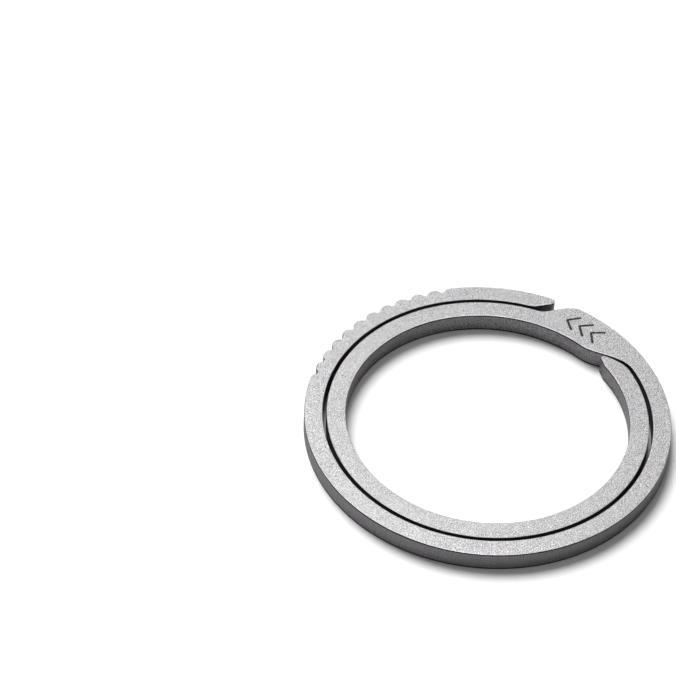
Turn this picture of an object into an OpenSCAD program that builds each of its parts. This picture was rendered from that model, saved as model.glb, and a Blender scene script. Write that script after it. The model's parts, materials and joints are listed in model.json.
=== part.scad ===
// Flat split key ring, cut from one sheet of titanium by a single narrow slit.
// A wide bridge joins two fingers. Seen from above, the outer finger leaves the
// bridge clockwise and ends in the thumb grip and the outer tip. The inner finger
// leaves it counter-clockwise, runs round inside the outer one, and ends in the
// inner tip under the bridge. Each finger is a chain of lengths that meet face to
// face, at the cuts where its twist is gathered when it is pushed sideways.
// The origin is the ring's centre on its underside, and Z is up. Angles run
// counter-clockwise, and count from the bridge's middle.

/* [Ring] */
// Outside diameter
outer_d = 28; // [25:0.5:32]
// Sheet thickness
sheet_t = 1.6; // [1:0.1:2.5]
// Width of the outer finger
outer_w = 1.41; // [1.3:0.01:1.6]
// Width of the inner finger
inner_w = 1.47; // [1.3:0.01:1.6]
// Width of the slit between the fingers
slit_w = 0.28; // [0.2:0.01:0.35]

/* [Bridge] */
// Direction of the bridge's middle, from +X
bridge_angle = 52; // [0:1:90]
// Angle where the bridge's inside starts to swing in from the slit to the eye
hook_start = -24; // [-24:0.5:-23]
// Angle that this swing takes
hook_span = 20.5; // [20:0.5:22]
// Angle where the bridge's ramp leaves the rim
ramp_top = 7.5; // [5:0.5:8]
// Angle that the ramp takes to reach the slit
ramp_span = 12.5; // [12:0.5:15]

/* [Tips] */
// Angle of the outer tip's foremost point
outer_nose = 16.2; // [15.5:0.1:17]
// Nose radius of the outer tip
outer_nose_r = 0.3; // [0.25:0.01:0.35]
// Angle of the inner tip's foremost point
inner_nose = -12.9; // [-13.5:0.1:-12.5]
// Nose radius of the inner tip
inner_nose_r = 0.24; // [0.2:0.01:0.26]

/* [Thumb grip] */
// Number of ridges
ridge_count = 10; // [4:1:10]
// Angle from one ridge to the next
ridge_pitch = 5.85; // [5.6:0.01:6]
// Radius of one rounded ridge
ridge_r = 0.62; // [0.55:0.01:0.62]
// Depth of the valleys between ridges, below the rim
ridge_depth = 0.36; // [0.2:0.01:0.38]

/* [Mark] */
// Number of chevrons, which point along the bridge to the slit's mouth
chevron_count = 3; // [1:1:3]
// Width of an engraved line
mark_w = 0.2; // [0.12:0.01:0.3]
// Depth of the engraving
mark_depth = 0.08; // [0.04:0.01:0.2]

/* [Hidden] */
$fn = 180;
OUTER_LENGTHS = 4;
INNER_LENGTHS = 5;

// Radii of the rim, of the slit's two walls and of the eye
rim_r = outer_d / 2;
slit_out_r = rim_r - outer_w;
slit_in_r = slit_out_r - slit_w;
eye_r = slit_in_r - inner_w;

// Cuts of the inner finger, from its root to its tip, and the angle of a plain length
inner_root = 28;
inner_span = 54;
inner_tip_cut = inner_root + INNER_LENGTHS * inner_span;

// Cuts of the outer finger, from its tip to its root beside the bridge
outer_tip_cut = 49;
grip_cut = 118;
outer_span = 53;
outer_root = grip_cut + OUTER_LENGTHS * outer_span;

// The outer tip's inner side leaves the slit wall at tip_slope_start, along the ramp
tip_slope_lag = 3.84;
tip_slope_start = ramp_top + ramp_span + tip_slope_lag;
outer_nose_mid_r = rim_r - outer_nose_r;
outer_nose_mid = outer_nose + arc_angle(outer_nose_r, outer_nose_mid_r);
outer_nose_sweep = 140;
outer_slope_lead = 0.6;

// The inner tip's outer side runs along the bridge's inside
hook_shift = 0.4;
inner_nose_rise = 0.46;
inner_nose_mid_r = eye_r + inner_nose_rise;
inner_nose_mid = inner_nose - arc_angle(inner_nose_r, inner_nose_mid_r);
inner_nose_from = 29;
inner_nose_to = 163;
inner_slope_lead = 0.8;
inner_heel = -17.7;

// Ridges sit so deep that their crests stay just inside the rim
crest_drop = 0.02;
shoulder_mid_r = rim_r - ridge_r;
ridge_mid_r = shoulder_mid_r - crest_drop;
ridge_half = acos(1 - ridge_depth / ridge_r);
grip_first = 56.83;

// Chevrons: the angle of the middle one's point, their spacing, and an arm's length
mark_angle = 3.5;
mark_pitch = 5.2;
mark_arm = 1.05;
mark_r = (rim_r + eye_r) / 2;

CENTRE = [0, 0];
CURVE_STEPS = 16;
DEGREES_PER_FACET = 1;
DEGREES_PER_SMALL_FACET = 14;
titanium = [0.78, 0.77, 0.76];

OUTER_NAMES = [for (k = [1 : OUTER_LENGTHS]) str("outer_length_", k)];
INNER_NAMES = [for (k = [1 : INNER_LENGTHS]) str("inner_length_", k)];

// The angle that a small distance takes at a radius
function arc_angle(distance, r) = distance / r * 180 / PI;

// 0 to 1 with a soft start and a soft end
function ease(u) = let (c = min(1, max(0, u))) c * c * (3 - 2 * c);

function polar(r, a) = [r * cos(a), r * sin(a)];

// Wall radii at an angle: the bridge's two sides, and the sides of the tips that
// follow them
function bridge_inside(a) =
    slit_out_r - (slit_out_r - eye_r) * ease((a - hook_start) / hook_span);
function bridge_outside(a) =
    rim_r - (rim_r - slit_in_r) * ease((a - ramp_top) / ramp_span);
function outer_tip_inside(a) =
    slit_out_r + outer_w * ease((tip_slope_start - a) / ramp_span);
function inner_tip_outside(a) =
    slit_in_r - inner_w * ease((a - hook_start + hook_shift) / hook_span);

// Points along an arc of radius r about mid, between two directions
function arc(r, from, to, mid = CENTRE, per_facet = DEGREES_PER_FACET) =
    let (n = max(1, ceil(abs(to - from) / per_facet)))
    [for (i = [0 : n]) mid + polar(r, from + (to - from) * i / n)];

// Points round a nose or a ridge, whose middle is mid
function small_arc(mid, r, from, to) = arc(r, from, to, mid, DEGREES_PER_SMALL_FACET);

// Points over a ridge whose middle is at radius mid_r and angle a
function ridge(mid_r, a, from, to) = small_arc(polar(mid_r, a), ridge_r, a + from, a + to);

function steps(from, to) = [for (i = [0 : CURVE_STEPS]) from + (to - from) * i / CURVE_STEPS];

module in_frame() {
    color(titanium) rotate([0, 0, bridge_angle]) children();
}

module plate(outline) {
    linear_extrude(sheet_t) polygon(outline);
}

// A plain length of band between two cuts
module band(inner_r, outer_r, from, to) {
    rotate([0, 0, from])
        rotate_extrude(angle = to - from)
            translate([inner_r, 0]) square([outer_r - inner_r, sheet_t]);
}

// An engraved chevron whose point is at angle a and looks counter-clockwise
module chevron(a) {
    rotate([0, 0, a]) translate([mark_r, 0, sheet_t - mark_depth])
        for (arm_angle = [-45, -135])
            rotate([0, 0, arm_angle])
                translate([-mark_w / 2, -mark_w / 2, 0])
                    cube([mark_arm + mark_w / 2, mark_w, 2 * mark_depth]);
}

module bridge() {
    hook_end = hook_start + hook_span;
    ramp_foot = ramp_top + ramp_span;
    outline = concat(
        arc(rim_r, outer_root - 360, ramp_top),
        [for (a = steps(ramp_top, ramp_foot)) polar(bridge_outside(a), a)],
        arc(slit_in_r, ramp_foot, inner_root),
        arc(eye_r, inner_root, hook_end),
        [for (a = steps(hook_end, hook_start)) polar(bridge_inside(a), a)],
        arc(slit_out_r, hook_start, outer_root - 360)
    );
    in_frame() difference() {
        plate(outline);
        for (k = [0 : chevron_count - 1])
            chevron(mark_angle + (k - (chevron_count - 1) / 2) * mark_pitch);
    }
}

module outer_length(k) {
    to = outer_root - (k - 1) * outer_span;
    in_frame() band(slit_out_r, rim_r, to - outer_span, to);
}

module inner_length(k) {
    from = inner_root + (k - 1) * inner_span;
    in_frame() band(eye_r, slit_in_r, from, from + inner_span);
}

module thumb_grip() {
    last = grip_first + (ridge_count - 1) * ridge_pitch;
    outline = concat(
        arc(rim_r, outer_tip_cut, grip_first - ridge_pitch),
        ridge(shoulder_mid_r, grip_first - ridge_pitch, 0, ridge_half),
        [for (k = [0 : ridge_count - 1])
            each ridge(ridge_mid_r, grip_first + k * ridge_pitch, -ridge_half, ridge_half)],
        ridge(shoulder_mid_r, last + ridge_pitch, -ridge_half, 0),
        arc(rim_r, last + ridge_pitch, grip_cut),
        arc(slit_out_r, grip_cut, outer_tip_cut)
    );
    in_frame() plate(outline);
}

module outer_tip() {
    mid = polar(outer_nose_mid_r, outer_nose_mid);
    slope_from = outer_nose + outer_slope_lead;
    outline = concat(
        arc(rim_r, outer_tip_cut, outer_nose_mid),
        small_arc(mid, outer_nose_r, outer_nose_mid, outer_nose_mid - outer_nose_sweep),
        [for (a = steps(slope_from, tip_slope_start)) polar(outer_tip_inside(a), a)],
        arc(slit_out_r, tip_slope_start, outer_tip_cut)
    );
    in_frame() plate(outline);
}

module inner_tip() {
    mid = polar(inner_nose_mid_r, inner_nose_mid);
    slope_to = inner_nose - inner_slope_lead;
    outline = concat(
        arc(slit_in_r, inner_tip_cut - 360, hook_start - hook_shift),
        [for (a = steps(hook_start - hook_shift, slope_to)) polar(inner_tip_outside(a), a)],
        small_arc(mid, inner_nose_r, inner_nose_mid + inner_nose_from, inner_nose_mid + inner_nose_to),
        arc(eye_r, inner_heel, inner_tip_cut - 360)
    );
    in_frame() plate(outline);
}

bridge();
for (k = [1 : OUTER_LENGTHS])
    outer_length(k);
thumb_grip();
outer_tip();
for (k = [1 : INNER_LENGTHS])
    inner_length(k);
inner_tip();
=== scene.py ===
"""The looks of a flat split key ring of bead-blasted titanium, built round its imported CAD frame.

The ring is one band of metal that runs in a spiral. It starts at the outer tip, goes round as
the outer finger, widens into the bridge, and goes round again inside as the inner finger, to
the inner tip. A place along it is its spiral angle, which counts on past 360 degrees: the
bridge's middle is at 360. Lengths are millimetres until a mesh is done, and angles degrees.
"""

import json
import math

import bmesh
import bpy
import numpy as np
from mathutils import Matrix, Vector
from mathutils.kdtree import KDTree


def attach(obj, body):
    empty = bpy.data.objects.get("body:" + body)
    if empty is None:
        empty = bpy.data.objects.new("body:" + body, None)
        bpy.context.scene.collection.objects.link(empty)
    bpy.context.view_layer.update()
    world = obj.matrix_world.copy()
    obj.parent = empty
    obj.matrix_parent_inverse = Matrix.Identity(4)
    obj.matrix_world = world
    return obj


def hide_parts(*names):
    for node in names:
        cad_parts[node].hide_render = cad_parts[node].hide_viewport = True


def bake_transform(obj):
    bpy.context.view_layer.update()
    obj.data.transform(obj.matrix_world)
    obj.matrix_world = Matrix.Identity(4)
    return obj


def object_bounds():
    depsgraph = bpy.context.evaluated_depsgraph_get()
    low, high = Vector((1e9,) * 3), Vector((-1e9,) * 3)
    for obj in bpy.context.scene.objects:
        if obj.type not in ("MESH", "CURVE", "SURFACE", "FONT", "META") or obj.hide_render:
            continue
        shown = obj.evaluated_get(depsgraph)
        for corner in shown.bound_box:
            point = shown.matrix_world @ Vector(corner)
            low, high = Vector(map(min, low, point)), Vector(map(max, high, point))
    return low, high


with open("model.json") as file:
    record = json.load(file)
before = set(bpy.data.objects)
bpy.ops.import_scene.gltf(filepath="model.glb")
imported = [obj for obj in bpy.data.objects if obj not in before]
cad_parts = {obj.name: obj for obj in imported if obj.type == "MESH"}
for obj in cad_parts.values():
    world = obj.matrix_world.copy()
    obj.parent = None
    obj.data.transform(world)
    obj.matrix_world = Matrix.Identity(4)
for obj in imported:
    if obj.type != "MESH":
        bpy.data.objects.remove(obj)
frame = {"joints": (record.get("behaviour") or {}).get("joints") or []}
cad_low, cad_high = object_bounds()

# ---------------------------------------------------------------- sizes

MM = 0.001
TURN = 360

# The whole ring, from the frame
RIM_R = (cad_high.y - cad_low.y) / 2 / MM
SHEET_T = cad_high.z / MM

# The band
OUTER_W = 1.41
INNER_W = 1.47
SLIT_W = 0.28
SLIT_OUT_R = RIM_R - OUTER_W
SLIT_IN_R = SLIT_OUT_R - SLIT_W
EYE_R = SLIT_IN_R - INNER_W
MIDDLE_R = (RIM_R + EYE_R) / 2
EDGE_BREAK = 0.06

# The bridge: its hook swings in from the slit to the eye, its ramp from the rim to the slit
BRIDGE_ANGLE = 52
HOOK_START = -24
HOOK_SPAN = 20.5
HOOK_END = HOOK_START + HOOK_SPAN
RAMP_TOP = 7.5
RAMP_SPAN = 12.5
RAMP_FOOT = RAMP_TOP + RAMP_SPAN

# The tips. A nose is an arc, and its sweep is counted from straight outward.
OUTER_NOSE_R = 0.3
OUTER_NOSE_MID_R = RIM_R - OUTER_NOSE_R
OUTER_NOSE_ANGLE = 17.455
OUTER_NOSE_SWEEP = 140
OUTER_SLOPE_START = 16.8
OUTER_SLOPE_END = 23.84
INNER_NOSE_R = 0.24
INNER_NOSE_MID_R = EYE_R + 0.46
INNER_NOSE_ANGLE = -14.12
INNER_NOSE_FROM = 29
INNER_NOSE_TO = 163
INNER_SLOPE_SHIFT = 0.4
INNER_SLOPE_END = -13.7
INNER_HEEL = -17.7

# The thumb grip's ridges and the rounded valleys between them
RIDGE_COUNT = 10
RIDGE_PITCH = 5.85
RIDGE_FIRST = 56.83
RIDGE_R = 0.62
RIDGE_MID_R = RIM_R - RIDGE_R - 0.02
VALLEY_R = 0.23

# The engraved chevrons on the bridge. A groove's sides curve in as an arc does, and its flat
# bottom starts where the arc has turned by CHEVRON_BOTTOM.
CHEVRON_ANGLES = (-1.7, 3.5, 8.7)
CHEVRON_ARM = 1.05
CHEVRON_W = 0.2
CHEVRON_DEPTH = 0.08
CHEVRON_BOTTOM = 75

# How finely the curves are drawn
PLAIN_STEP = 1.0
FINE_STEP = 0.25
SMALL_ARC_STEP = 9
PEN_STEP = 15
EDGE_STEPS = 3

# Points nearer than SAME_POINT are one point, and angles nearer than SAME_ANGLE are one angle.
# A face is flat if its unit normal's Z is over FLAT_Z.
SAME_POINT = 1e-5
SAME_ANGLE = 1e-4
FLAT_Z = 0.999

# ---------------------------------------------------------------- the band's two sides


def polar(r, a):
    """Points of the plane, as complex numbers, at radius r and angle a."""
    return r * np.exp(1j * np.radians(a))


def ease(u):
    """0 to 1 with a soft start and a soft end."""
    c = np.clip(u, 0, 1)
    return c * c * (3 - 2 * c)


def sweep(start, end, step=PLAIN_STEP):
    """Angles from start to end at even steps, no longer than step."""
    count = max(1, math.ceil((abs(end - start) - SAME_ANGLE) / step))
    return np.linspace(start, end, count + 1)


def nose_tip(r, mid_r):
    """How far round a nose its foremost point lies, from straight outward."""
    return 90 + math.degrees(math.asin(r / mid_r))


def outer_nose(start, end):
    """Points round the outer tip's nose, between two sweeps clockwise from straight outward."""
    middle = polar(OUTER_NOSE_MID_R, OUTER_NOSE_ANGLE)
    return middle + polar(OUTER_NOSE_R, OUTER_NOSE_ANGLE - sweep(start, end, SMALL_ARC_STEP))


def inner_nose(start, end):
    """Points round the inner tip's nose, between two sweeps anticlockwise from straight outward."""
    middle = polar(INNER_NOSE_MID_R, INNER_NOSE_ANGLE)
    return middle + polar(INNER_NOSE_R, INNER_NOSE_ANGLE + sweep(start, end, SMALL_ARC_STEP))


def grip_points():
    """Points over the thumb grip: ridges, with a valley's arc tangent to each pair."""
    last = RIDGE_FIRST + (RIDGE_COUNT - 1) * RIDGE_PITCH
    angles = RIDGE_FIRST + RIDGE_PITCH * np.arange(-1, RIDGE_COUNT + 1)
    shoulder_mid_r = RIM_R - RIDGE_R
    radii = [shoulder_mid_r] + [RIDGE_MID_R] * RIDGE_COUNT + [shoulder_mid_r]
    middles = [polar(r, a) for r, a in zip(radii, angles)]
    points = []
    ridge_from = np.angle(middles[0], deg=True)
    for here, there in zip(middles, middles[1:]):
        apart = there - here
        rise = math.sqrt((RIDGE_R + VALLEY_R) ** 2 - abs(apart / 2) ** 2)
        valley = here + apart / 2 - 1j * apart / abs(apart) * rise
        to_valley = np.angle(valley - here, deg=True)
        from_valley = np.angle(valley - there, deg=True)
        points.append(here + polar(RIDGE_R, sweep(ridge_from, to_valley, SMALL_ARC_STEP)))
        across = sweep(to_valley + 180, from_valley + 180, 2 * SMALL_ARC_STEP)
        points.append(valley + polar(VALLEY_R, across[1:-1]))
        ridge_from = from_valley
    points.append(middles[-1] + polar(RIDGE_R, sweep(ridge_from, last + RIDGE_PITCH, SMALL_ARC_STEP)))
    return np.concatenate(points)


def outward_side():
    """The side of the band that looks outward, from the outer tip to the inner tip."""
    grip = grip_points()
    ramp = sweep(RAMP_TOP, RAMP_FOOT, FINE_STEP)
    slope = sweep(HOOK_START - INNER_SLOPE_SHIFT, INNER_SLOPE_END, FINE_STEP)
    swing_out = ease((ramp - RAMP_TOP) / RAMP_SPAN)
    swing_in = ease((slope - HOOK_START + INNER_SLOPE_SHIFT) / HOOK_SPAN)
    return np.concatenate([
        outer_nose(nose_tip(OUTER_NOSE_R, OUTER_NOSE_MID_R), 0),
        polar(RIM_R, sweep(OUTER_NOSE_ANGLE, RIDGE_FIRST - RIDGE_PITCH)),
        grip,
        polar(RIM_R, sweep(np.angle(grip[-1], deg=True), TURN + RAMP_TOP)),
        polar(RIM_R - (RIM_R - SLIT_IN_R) * swing_out, ramp),
        polar(SLIT_IN_R, sweep(RAMP_FOOT, TURN + HOOK_START - INNER_SLOPE_SHIFT)),
        polar(SLIT_IN_R - INNER_W * swing_in, slope),
        inner_nose(INNER_NOSE_FROM, nose_tip(INNER_NOSE_R, INNER_NOSE_MID_R)),
    ])


def inward_side():
    """The side of the band that looks inward, from the outer tip to the inner tip."""
    slope = sweep(OUTER_SLOPE_START, OUTER_SLOPE_END, FINE_STEP)
    hook = sweep(HOOK_START, HOOK_END, FINE_STEP)
    swing_out = ease((OUTER_SLOPE_END - slope) / RAMP_SPAN)
    swing_in = ease((hook - HOOK_START) / HOOK_SPAN)
    return np.concatenate([
        outer_nose(nose_tip(OUTER_NOSE_R, OUTER_NOSE_MID_R), OUTER_NOSE_SWEEP),
        polar(SLIT_OUT_R + OUTER_W * swing_out, slope),
        polar(SLIT_OUT_R, sweep(OUTER_SLOPE_END, TURN + HOOK_START)),
        polar(SLIT_OUT_R - (SLIT_OUT_R - EYE_R) * swing_in, hook),
        polar(EYE_R, sweep(HOOK_END, TURN + INNER_HEEL)),
        inner_nose(INNER_NOSE_TO, nose_tip(INNER_NOSE_R, INNER_NOSE_MID_R)),
    ])


def by_angle(side):
    """A side as spiral angles, which only grow, and radii."""
    angles = np.degrees(np.unwrap(np.angle(side)))
    grows = np.diff(angles, prepend=-np.inf) > SAME_ANGLE
    return angles[grows], abs(side)[grows]


def outward_normals(loop):
    """Unit normals of a closed curve that runs anticlockwise round the metal."""
    before = loop - np.roll(loop, 1)
    after = np.roll(loop, -1) - loop
    tangent = before / abs(before) * abs(after) + after / abs(after) * abs(before)
    return -1j * tangent / abs(tangent)


def cut_angles(finger, direction):
    """Spiral angles of a finger's cuts, from the frame's joints, counted on from the bridge. They
    are rounded, since the frame's places are."""
    angles, here = [], TURN
    for joint in frame["joints"]:
        if joint["name"].startswith(finger):
            x, y, _ = joint["pos_m"]
            there = math.degrees(math.atan2(y, x)) - BRIDGE_ANGLE
            here += direction * ((there - here) * direction % TURN)
            angles.append(round(here, 2))
    return angles


OUTER_CUTS = cut_angles("outer_flex", -1)
INNER_CUTS = cut_angles("inner_flex", 1)


def draw_band():
    """Matched stations along the band: spiral angles, and each side's points and normals."""
    out_angles, out_radii = by_angle(outward_side())
    in_angles, in_radii = by_angle(inward_side())
    # Rounded, so that a cut falls on a point that is already there and doesn't double it
    stations = np.unique(np.concatenate([np.round(out_angles, 4), OUTER_CUTS, INNER_CUTS]))
    outward = polar(np.interp(stations, out_angles, out_radii), stations + BRIDGE_ANGLE)
    inward = polar(np.interp(stations, in_angles, in_radii), stations + BRIDGE_ANGLE)
    count = len(stations)
    # The loop runs out along one side and back along the other, and they share both noses' tips
    normals = outward_normals(np.concatenate([outward, inward[-2:0:-1]]))
    tips, back = normals[[0, count - 1]], normals[:count - 1:-1]
    return {
        "angles": stations,
        "outward": outward,
        "inward": inward,
        "outward_normals": normals[:count],
        "inward_normals": np.concatenate([tips[:1], back, tips[1:]]),
    }


BAND = draw_band()

# ---------------------------------------------------------------- meshes


def side_profile():
    """A side from its top face, round the broken edge and down the wall, to the underside: each
    point's inset from the side, its height, and how its normal divides between outward and up."""
    turn = np.radians(np.linspace(90, 0, EDGE_STEPS + 1))
    inset = EDGE_BREAK * (1 - np.cos(turn))
    height = SHEET_T - EDGE_BREAK * (1 - np.sin(turn))
    return (
        np.concatenate([inset, inset[::-1]]),
        np.concatenate([height, SHEET_T - height[::-1]]),
        np.concatenate([np.cos(turn), np.cos(turn[::-1])]),
        np.concatenate([np.sin(turn), -np.sin(turn[::-1])]),
    )


def side_rings(points, normals):
    """Positions and normals of a side's profile at each station, as arrays of 3-D vectors."""
    inset, height, outward, up = side_profile()
    flat = points[:, None] - normals[:, None] * inset
    lean = normals[:, None] * outward
    levels = np.ones((len(points), 1))
    return (
        np.stack([flat.real, flat.imag, levels * height], axis=-1),
        np.stack([lean.real, lean.imag, levels * up], axis=-1),
    )


def band_grid(first, last):
    """The band's skin from one spiral angle to another: a ring of points at each station, down
    the inward side and up the outward side, with their normals."""
    stations = BAND["angles"]
    span = (stations >= first - SAME_ANGLE) & (stations <= last + SAME_ANGLE)
    inner, inner_normals = side_rings(BAND["inward"][span], BAND["inward_normals"][span])
    outer, outer_normals = side_rings(BAND["outward"][span], BAND["outward_normals"][span])
    return (
        np.concatenate([inner, outer[:, ::-1]], axis=1),
        np.concatenate([inner_normals, outer_normals[:, ::-1]], axis=1),
    )


def grid_faces(stations, around):
    """Quads between neighbouring rings, and a cap on each end."""
    faces = []
    for i in range(stations - 1):
        for j in range(around):
            k = (j + 1) % around
            here, there = i * around, (i + 1) * around
            faces.append((here + j, there + j, there + k, here + k))
    end = (stations - 1) * around
    faces.append(tuple(range(around)))
    faces.append(tuple(range(end + around - 1, end - 1, -1)))
    return faces


def new_object(name, vertices, faces):
    mesh = bpy.data.meshes.new(name)
    mesh.from_pydata([tuple(v) for v in vertices], [], faces)
    made = bpy.data.objects.new(name, mesh)
    bpy.context.scene.collection.objects.link(made)
    return made


def close_noses(mesh):
    """Joins the two sides where they meet at a nose, so that the skin is closed there."""
    work = bmesh.new()
    work.from_mesh(mesh)
    bmesh.ops.remove_doubles(work, verts=work.verts, dist=SAME_POINT)
    bmesh.ops.dissolve_degenerate(work, edges=work.edges, dist=SAME_POINT / 10)
    work.to_mesh(mesh)
    work.free()


def place_on_band(mesh, middle):
    """Stores each point's place on the band, in millimetres: along it, outward and up. Textures
    read it, so that they run on from piece to piece and stay on the metal as it bends."""
    co = np.zeros(len(mesh.vertices) * 3)
    mesh.vertices.foreach_get("co", co)
    co = co.reshape(-1, 3)
    turned = np.degrees(np.arctan2(co[:, 1], co[:, 0])) - BRIDGE_ANGLE
    spiral = turned + TURN * np.round((middle - turned) / TURN)
    place = np.column_stack([np.radians(spiral) * MIDDLE_R, np.hypot(co[:, 0], co[:, 1]), co[:, 2]])
    stored = mesh.attributes.new("band_at", "FLOAT_VECTOR", "POINT")
    stored.data.foreach_set("vector", place.astype(np.float32).ravel())


def shade(mesh, points, normals):
    """Gives the rounded skin the outline's own normals. Flat faces, caps and grooves keep theirs."""
    tree = KDTree(len(points))
    for i, point in enumerate(points):
        tree.insert(point, i)
    tree.balance()
    shading = [None] * len(mesh.loops)
    for face in mesh.polygons:
        plain = len(face.vertices) > 4 or abs(face.normal.z) > FLAT_Z or face.material_index
        for loop in face.loop_indices:
            if plain:
                shading[loop] = face.normal.copy()
            else:
                at = mesh.vertices[mesh.loops[loop].vertex_index].co
                shading[loop] = Vector(normals[tree.find(at)[1]])
    mesh.shade_smooth()
    mesh.normals_split_custom_set(shading)


def band_piece(name, first, last, cutter=None):
    """One finished length of the band, as a closed mesh in metres."""
    points, normals = band_grid(first, last)
    stations, around, _ = points.shape
    made = new_object(name, points.reshape(-1, 3), grid_faces(stations, around))
    close_noses(made.data)
    for material in (TITANIUM, GROOVE):
        made.data.materials.append(material)
    if cutter:
        cut_out(made, cutter)
    shade(made.data, points.reshape(-1, 3), normals.reshape(-1, 3))
    place_on_band(made.data, (first + last) / 2)
    made.data.transform(Matrix.Scale(MM, 4))
    return made


def cut_out(piece, cutter):
    """Takes cutter's shape out of piece, and removes cutter."""
    cut = piece.modifiers.new("marks", "BOOLEAN")
    cut.operation, cut.solver, cut.object = "DIFFERENCE", "EXACT", cutter
    graph = bpy.context.evaluated_depsgraph_get()
    whole = piece.data
    piece.data = bpy.data.meshes.new_from_object(piece.evaluated_get(graph), depsgraph=graph)
    piece.modifiers.remove(cut)
    bpy.data.meshes.remove(whole)
    bpy.data.objects.remove(cutter)


# ---------------------------------------------------------------- the engraved chevrons


def chevron_outline(half_w):
    """A chevron that points along +X, drawn with a round pen of the given half width."""
    def pen(middle, start, end):
        return middle + polar(half_w, sweep(start, end, PEN_STEP))
    upper, lower = polar(CHEVRON_ARM, 135), polar(CHEVRON_ARM, -135)
    corner = [-half_w * math.sqrt(2)]
    return np.concatenate([pen(0, -45, 45), pen(upper, 45, 225), corner, pen(lower, 135, 315)])


def chevron_cutter():
    """Solids that cut the chevrons' grooves out of the bridge's top face, rounded towards the
    bottom."""
    above = [(SHEET_T + CHEVRON_DEPTH, CHEVRON_W / 2)]
    dip = np.radians(sweep(0, CHEVRON_BOTTOM, CHEVRON_BOTTOM / 4))
    below = zip(SHEET_T - CHEVRON_DEPTH * np.sin(dip), CHEVRON_W / 2 * np.cos(dip))
    levels = above + list(below)
    vertices, faces = [], []
    for angle in CHEVRON_ANGLES:
        at = polar(MIDDLE_R, angle + BRIDGE_ANGLE)
        base = len(vertices)
        for z, half_w in levels:
            ring = at + chevron_outline(half_w) * polar(1, angle + BRIDGE_ANGLE + 90)
            vertices += [(p.real, p.imag, z) for p in ring]
        around = len(ring)
        for level in range(len(levels) - 1):
            upper, lower = base + level * around, base + (level + 1) * around
            for j in range(around):
                k = (j + 1) % around
                faces.append((upper + j, lower + j, lower + k, upper + k))
        faces.append(tuple(range(base, base + around)))
        bottom = base + (len(levels) - 1) * around
        faces.append(tuple(range(bottom + around - 1, bottom - 1, -1)))
    cutter = new_object("chevrons", vertices, faces)
    for material in (TITANIUM, GROOVE):
        cutter.data.materials.append(material)
    for face in cutter.data.polygons:
        face.material_index = 1
    return cutter


# ---------------------------------------------------------------- materials
#
# Patterns are in millimetres, like the place on the band that they are drawn in.


def new_material(name, **values):
    """A material, its node tree and its shader, with the shader's plain values set."""
    material = bpy.data.materials.new(name)
    material.use_nodes = True
    shader = material.node_tree.nodes["Principled BSDF"]
    for socket, value in values.items():
        shader.inputs[socket].default_value = value
    return material, material.node_tree, shader


def add(tree, kind, inputs, **settings):
    """Adds a node and returns it. Each input is fed from a socket or set to a value."""
    made = tree.nodes.new("ShaderNode" + kind)
    for name, value in settings.items():
        setattr(made, name, value)
    for key, value in inputs.items():
        if isinstance(value, bpy.types.NodeSocket):
            tree.links.new(value, made.inputs[key])
        else:
            made.inputs[key].default_value = value
    return made


def calc(tree, operation, *values):
    """The result of a Math node."""
    return add(tree, "Math", dict(enumerate(values)), operation=operation).outputs[0]


def distance(tree, value, middle):
    """How far value is from middle, either way."""
    return calc(tree, "ABSOLUTE", calc(tree, "SUBTRACT", value, middle))


def spread(tree, value, low, high, to_low=0.0, to_high=1.0):
    """Takes low..high to to_low..to_high, and holds what is beyond."""
    inputs = {"Value": value, "From Min": low, "From Max": high, "To Min": to_low, "To Max": to_high}
    return add(tree, "MapRange", inputs).outputs[0]


def mix(tree, amount, low, high):
    """low where amount is 0, high where it is 1, for two colours."""
    return add(tree, "Mix", {0: amount, 6: low, 7: high}, data_type="RGBA").outputs[2]


def noise(tree, place, scale, detail, roughness=0.5):
    """Noise round 0.5, whose coarsest features are about 1 / scale across."""
    inputs = {"Vector": place, "Scale": scale, "Detail": detail, "Roughness": roughness}
    return add(tree, "TexNoise", inputs).outputs[0]


def bump(tree, height, depth, strength, **normal):
    """A normal that noise tips, as if it were so many millimetres deep."""
    inputs = {"Height": height, "Distance": depth * MM, "Strength": strength}
    return add(tree, "Bump", inputs | normal).outputs[0]


def band_at(tree):
    """The place on the band that place_on_band stored."""
    return add(tree, "Attribute", {}, attribute_name="band_at").outputs["Vector"]


def grey(value, purple=0.0):
    """A grey, with less green in it if it is a little purple."""
    return (value, value * (1 - purple), value, 1)


def blasted_colour(tree, place, grain):
    """Dimples, faint clouds, dark pits, and a bright speck here and there."""
    cloud = noise(tree, place, scale=0.5, detail=3.0)
    speck = noise(tree, place, scale=22.0, detail=0.0)
    colour = mix(tree, spread(tree, grain, 0.32, 0.68), grey(0.29), grey(0.62))
    colour = mix(tree, spread(tree, cloud, 0.3, 0.7, 0.0, 0.3), colour, grey(0.44, 0.03))
    colour = mix(tree, spread(tree, speck, 0.46, 0.35, 0.0, 0.9), colour, grey(0.12, 0.05))
    return mix(tree, spread(tree, speck, 0.54, 0.65, 0.0, 0.9), colour, grey(1.0))


def wall_colour(tree, blasted, stroke):
    """A cut wall is blasted too, over the strokes."""
    streaks = mix(tree, spread(tree, stroke, 0.35, 0.65), grey(0.34, 0.06), grey(0.54, 0.06))
    return mix(tree, 0.3, blasted, streaks)


def paint_slit_shade(tree, colour, from_slit, wall):
    """Painted shade on the walls in and near the slit, fading away from it."""
    mouth, back = SLIT_W / 2 + EDGE_BREAK, SLIT_W / 2 + OUTER_W / 2
    slit_shade = calc(tree, "MULTIPLY", spread(tree, from_slit, mouth, back, 1.0, 0.0), wall)
    return mix(tree, slit_shade, colour, grey(0.22, 0.03))


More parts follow.
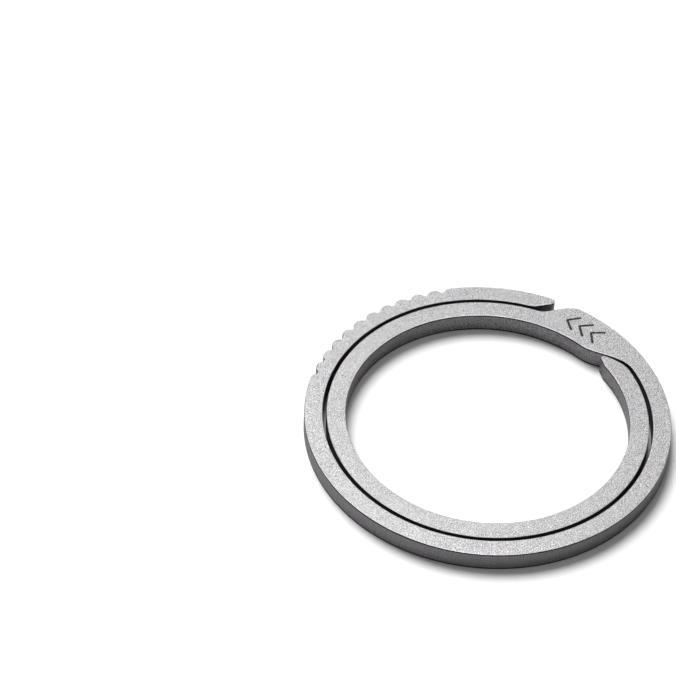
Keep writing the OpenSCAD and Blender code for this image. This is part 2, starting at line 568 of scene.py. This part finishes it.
def paint_edge_highlight(tree, colour, from_slit, face, edge):
    """Painted highlight on a broken edge's face side, but not beside the slit."""
    mouth = SLIT_W / 2 + EDGE_BREAK
    edge_highlight = calc(tree, "MULTIPLY", edge, spread(tree, face, 0.3, 0.6))
    edge_highlight = calc(tree, "MULTIPLY", edge_highlight, spread(tree, from_slit, mouth, mouth + EDGE_BREAK))
    return mix(tree, spread(tree, edge_highlight, 0.02, 0.15, 0.0, 0.9), colour, grey(0.95))


def paint_corner_shade(tree, colour, level, face):
    """Painted shade: a dark line on the wall's top and bottom where it meets a broken edge, and on the
    edge's wall side.
    """
    edge_foot = SHEET_T / 2 - EDGE_BREAK
    corner = spread(tree, level, edge_foot - 0.14, edge_foot - 0.04)
    corner = calc(tree, "MULTIPLY", corner, spread(tree, face, 0.5, 0.3))
    return mix(tree, corner, colour, grey(0.02, 0.05))


def titanium():
    """Bead-blasted faces, cut walls with fine strokes across the sheet, and painted light: a highlight
    along the broken edges, shade in and near the slit, and a dark line where each edge meets the wall.
    """
    material, tree, shader = new_material("blasted_titanium", Metallic=1.0)
    place = band_at(tree)
    axes = add(tree, "SeparateXYZ", {"Vector": place}).outputs
    from_slit = distance(tree, axes["Y"], (SLIT_IN_R + SLIT_OUT_R) / 2)
    level = distance(tree, axes["Z"], SHEET_T / 2)
    # face is 0 on a wall and 1 on a face, wall the other way round, and edge peaks half way
    face = spread(tree, level, SHEET_T / 2 - EDGE_BREAK, SHEET_T / 2)
    wall = calc(tree, "SUBTRACT", 1.0, face)
    edge = calc(tree, "MULTIPLY", face, wall)
    # Blasting leaves dimples of under a tenth of a millimetre
    grain = noise(tree, place, scale=15.0, detail=1.0, roughness=0.7)
    # Cutting leaves faint strokes along Z, so their noise hardly changes with height
    along_z = add(tree, "VectorMath", {0: place, 1: (1.0, 1.0, 0.15)}, operation="MULTIPLY").outputs[0]
    stroke = noise(tree, along_z, scale=6.0, detail=4.0)

    blasted = blasted_colour(tree, place, grain)
    colour = mix(tree, spread(tree, face, 0.35, 0.55), wall_colour(tree, blasted, stroke), blasted)
    # Painted shade on the walls in and near the slit
    colour = paint_slit_shade(tree, colour, from_slit, wall)
    # Painted highlight along the broken edges, on their face side
    colour = paint_edge_highlight(tree, colour, from_slit, face, edge)
    # Painted shade: a dark line where each broken edge meets the wall
    colour = paint_corner_shade(tree, colour, level, face)
    tree.links.new(colour, shader.inputs["Base Color"])

    worn_smooth = spread(tree, edge, 0.05, 0.25, 0.0, 0.2)
    rough = calc(tree, "SUBTRACT", spread(tree, grain, 0.3, 0.7, 0.36, 0.48), worn_smooth)
    tree.links.new(rough, shader.inputs["Roughness"])
    dimples = bump(tree, grain, depth=0.025, strength=1.0)
    strokes = bump(tree, stroke, depth=0.01, strength=0.5, Normal=dimples)
    tree.links.new(strokes, shader.inputs["Normal"])
    return material


def groove():
    """The engraving's burnt floor."""
    material, tree, shader = new_material("engraved_groove", Metallic=0.6)
    burn = noise(tree, band_at(tree), scale=12.0, detail=3.0)
    tree.links.new(mix(tree, burn, grey(0.02), grey(0.09)), shader.inputs["Base Color"])
    tree.links.new(spread(tree, burn, 0.3, 0.7, 0.5, 0.8), shader.inputs["Roughness"])
    return material


TITANIUM = titanium()
GROOVE = groove()

# ---------------------------------------------------------------- the ring's pieces


def make_bridge():
    piece = band_piece("bridge_metal", OUTER_CUTS[0], INNER_CUTS[0], chevron_cutter())
    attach(piece, "bridge")
    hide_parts("bridge")


def make_finger(finger, cuts, tip):
    """A finger's lengths, one metal piece for each of its bodies, whose CAD parts are hidden."""
    joints = [j for j in frame["joints"] if j["name"].startswith(finger)]
    for joint, root, end in zip(joints, cuts, cuts[1:] + [tip]):
        body = joint["child"]
        piece = band_piece(body + "_metal", min(root, end), max(root, end))
        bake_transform(piece)
        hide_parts(body)


make_bridge()
make_finger("outer_flex", OUTER_CUTS, BAND["angles"][0])
make_finger("inner_flex", INNER_CUTS, BAND["angles"][-1])

# ---------------------------------------------------------------- floor, light and camera

RING_R = RIM_R * MM
FLOOR_SEEN = 0.94
FLOOR_IN_METAL = 0.3
LIGHT_AWAY = 16 * RING_R
LARGE_BOX = 13.3 * RING_R
SMALL_BOX = 9 * RING_R


def make_floor():
    """A plain white floor, wide enough to reach past every view. The metal sees it dimmer."""
    half = 150 * RING_R
    corners = [(-half, -half, 0), (half, -half, 0), (half, half, 0), (-half, half, 0)]
    floor = new_object("floor", corners, [(0, 1, 2, 3)])
    material, tree, shader = new_material("pale_floor", **{"Roughness": 0.9, "Specular IOR Level": 0.0})
    reflected = add(tree, "LightPath", {}).outputs["Is Glossy Ray"]
    seen = mix(tree, reflected, grey(FLOOR_SEEN), grey(FLOOR_IN_METAL, 0.02))
    tree.links.new(seen, shader.inputs["Base Color"])
    floor.data.materials.append(material)


def make_light(name, kind, azimuth, elevation, **values):
    """A light that looks at the ring's centre. Azimuth counts from +X."""
    light = bpy.data.lights.new(name, kind)
    a, e = math.radians(azimuth), math.radians(elevation)
    towards = Vector((math.cos(a) * math.cos(e), math.sin(a) * math.cos(e), math.sin(e)))
    holder = bpy.data.objects.new(name, light)
    holder.location = towards * LIGHT_AWAY
    holder.rotation_euler = towards.to_track_quat("Z", "Y").to_euler()
    for key, value in values.items():
        setattr(light, key, value)
    bpy.context.scene.collection.objects.link(holder)
    return holder


def make_softbox(name, azimuth, elevation, size, radiance):
    """A square softbox that the metal mirrors. It leaves the floor to the key light."""
    power = radiance * math.pi * size * size
    holder = make_light(name, "AREA", azimuth, elevation, shape="SQUARE", size=size, energy=power)
    holder.visible_diffuse = False


def make_key(azimuth, elevation, angle, strength):
    """A soft key light that falls evenly from far away, for the floor's light and shadow."""
    holder = make_light("key", "SUN", azimuth, elevation, angle=math.radians(angle), energy=strength)
    holder.visible_glossy = False


def make_world():
    """A white backdrop that gives dim, even light, a little dimmer in the metal."""
    world = bpy.data.worlds.new("studio")
    world.use_nodes = True
    tree = world.node_tree
    path = add(tree, "LightPath", {}).outputs
    seen = mix(tree, path["Is Glossy Ray"], grey(0.17), grey(0.14, 0.1))
    seen = mix(tree, path["Is Camera Ray"], seen, grey(1.0))
    tree.links.new(seen, tree.nodes["Background"].inputs["Color"])
    bpy.context.scene.world = world


def make_camera():
    """The camera, which looks down on the ring from the front and a little past it."""
    elevation, roll = math.radians(45.49), math.radians(3.22)
    pan, tilt = math.radians(2.268), math.radians(1.3)
    away = 287.8 * MM
    ahead = Vector((0, math.cos(elevation), -math.sin(elevation)))
    right = Vector((1, 0, 0))
    up = right.cross(ahead)
    right, up = (
        right * math.cos(roll) + up * math.sin(roll),
        up * math.cos(roll) - right * math.sin(roll),
    )
    to_ring = Vector((math.tan(pan), -math.tan(tilt), 1)).normalized()
    middle = Vector((0, 0, SHEET_T / 2 * MM))
    place = middle - away * (right * to_ring.x + up * to_ring.y + ahead * to_ring.z)
    lens = bpy.data.cameras.new("camera")
    lens.sensor_width = 36
    lens.lens = 200.7
    lens.clip_start, lens.clip_end = 0.01, 100
    camera = bpy.data.objects.new("camera", lens)
    camera.matrix_world = Matrix.Translation(place) @ Matrix((right, up, -ahead)).transposed().to_4x4()
    bpy.context.scene.collection.objects.link(camera)
    bpy.context.scene.camera = camera


make_floor()
make_world()
make_key(azimuth=120, elevation=56, angle=36, strength=4.0)
make_softbox("over", azimuth=118, elevation=67, size=LARGE_BOX, radiance=3.4)
make_softbox("left", azimuth=180, elevation=24, size=SMALL_BOX, radiance=0.7)
make_softbox("right", azimuth=0, elevation=24, size=SMALL_BOX, radiance=1.2)
make_softbox("near", azimuth=-90, elevation=24, size=SMALL_BOX, radiance=1.1)
make_softbox("front", azimuth=-90, elevation=52, size=SMALL_BOX, radiance=1.8)
make_camera()
bpy.context.scene.view_settings.view_transform = "Standard"
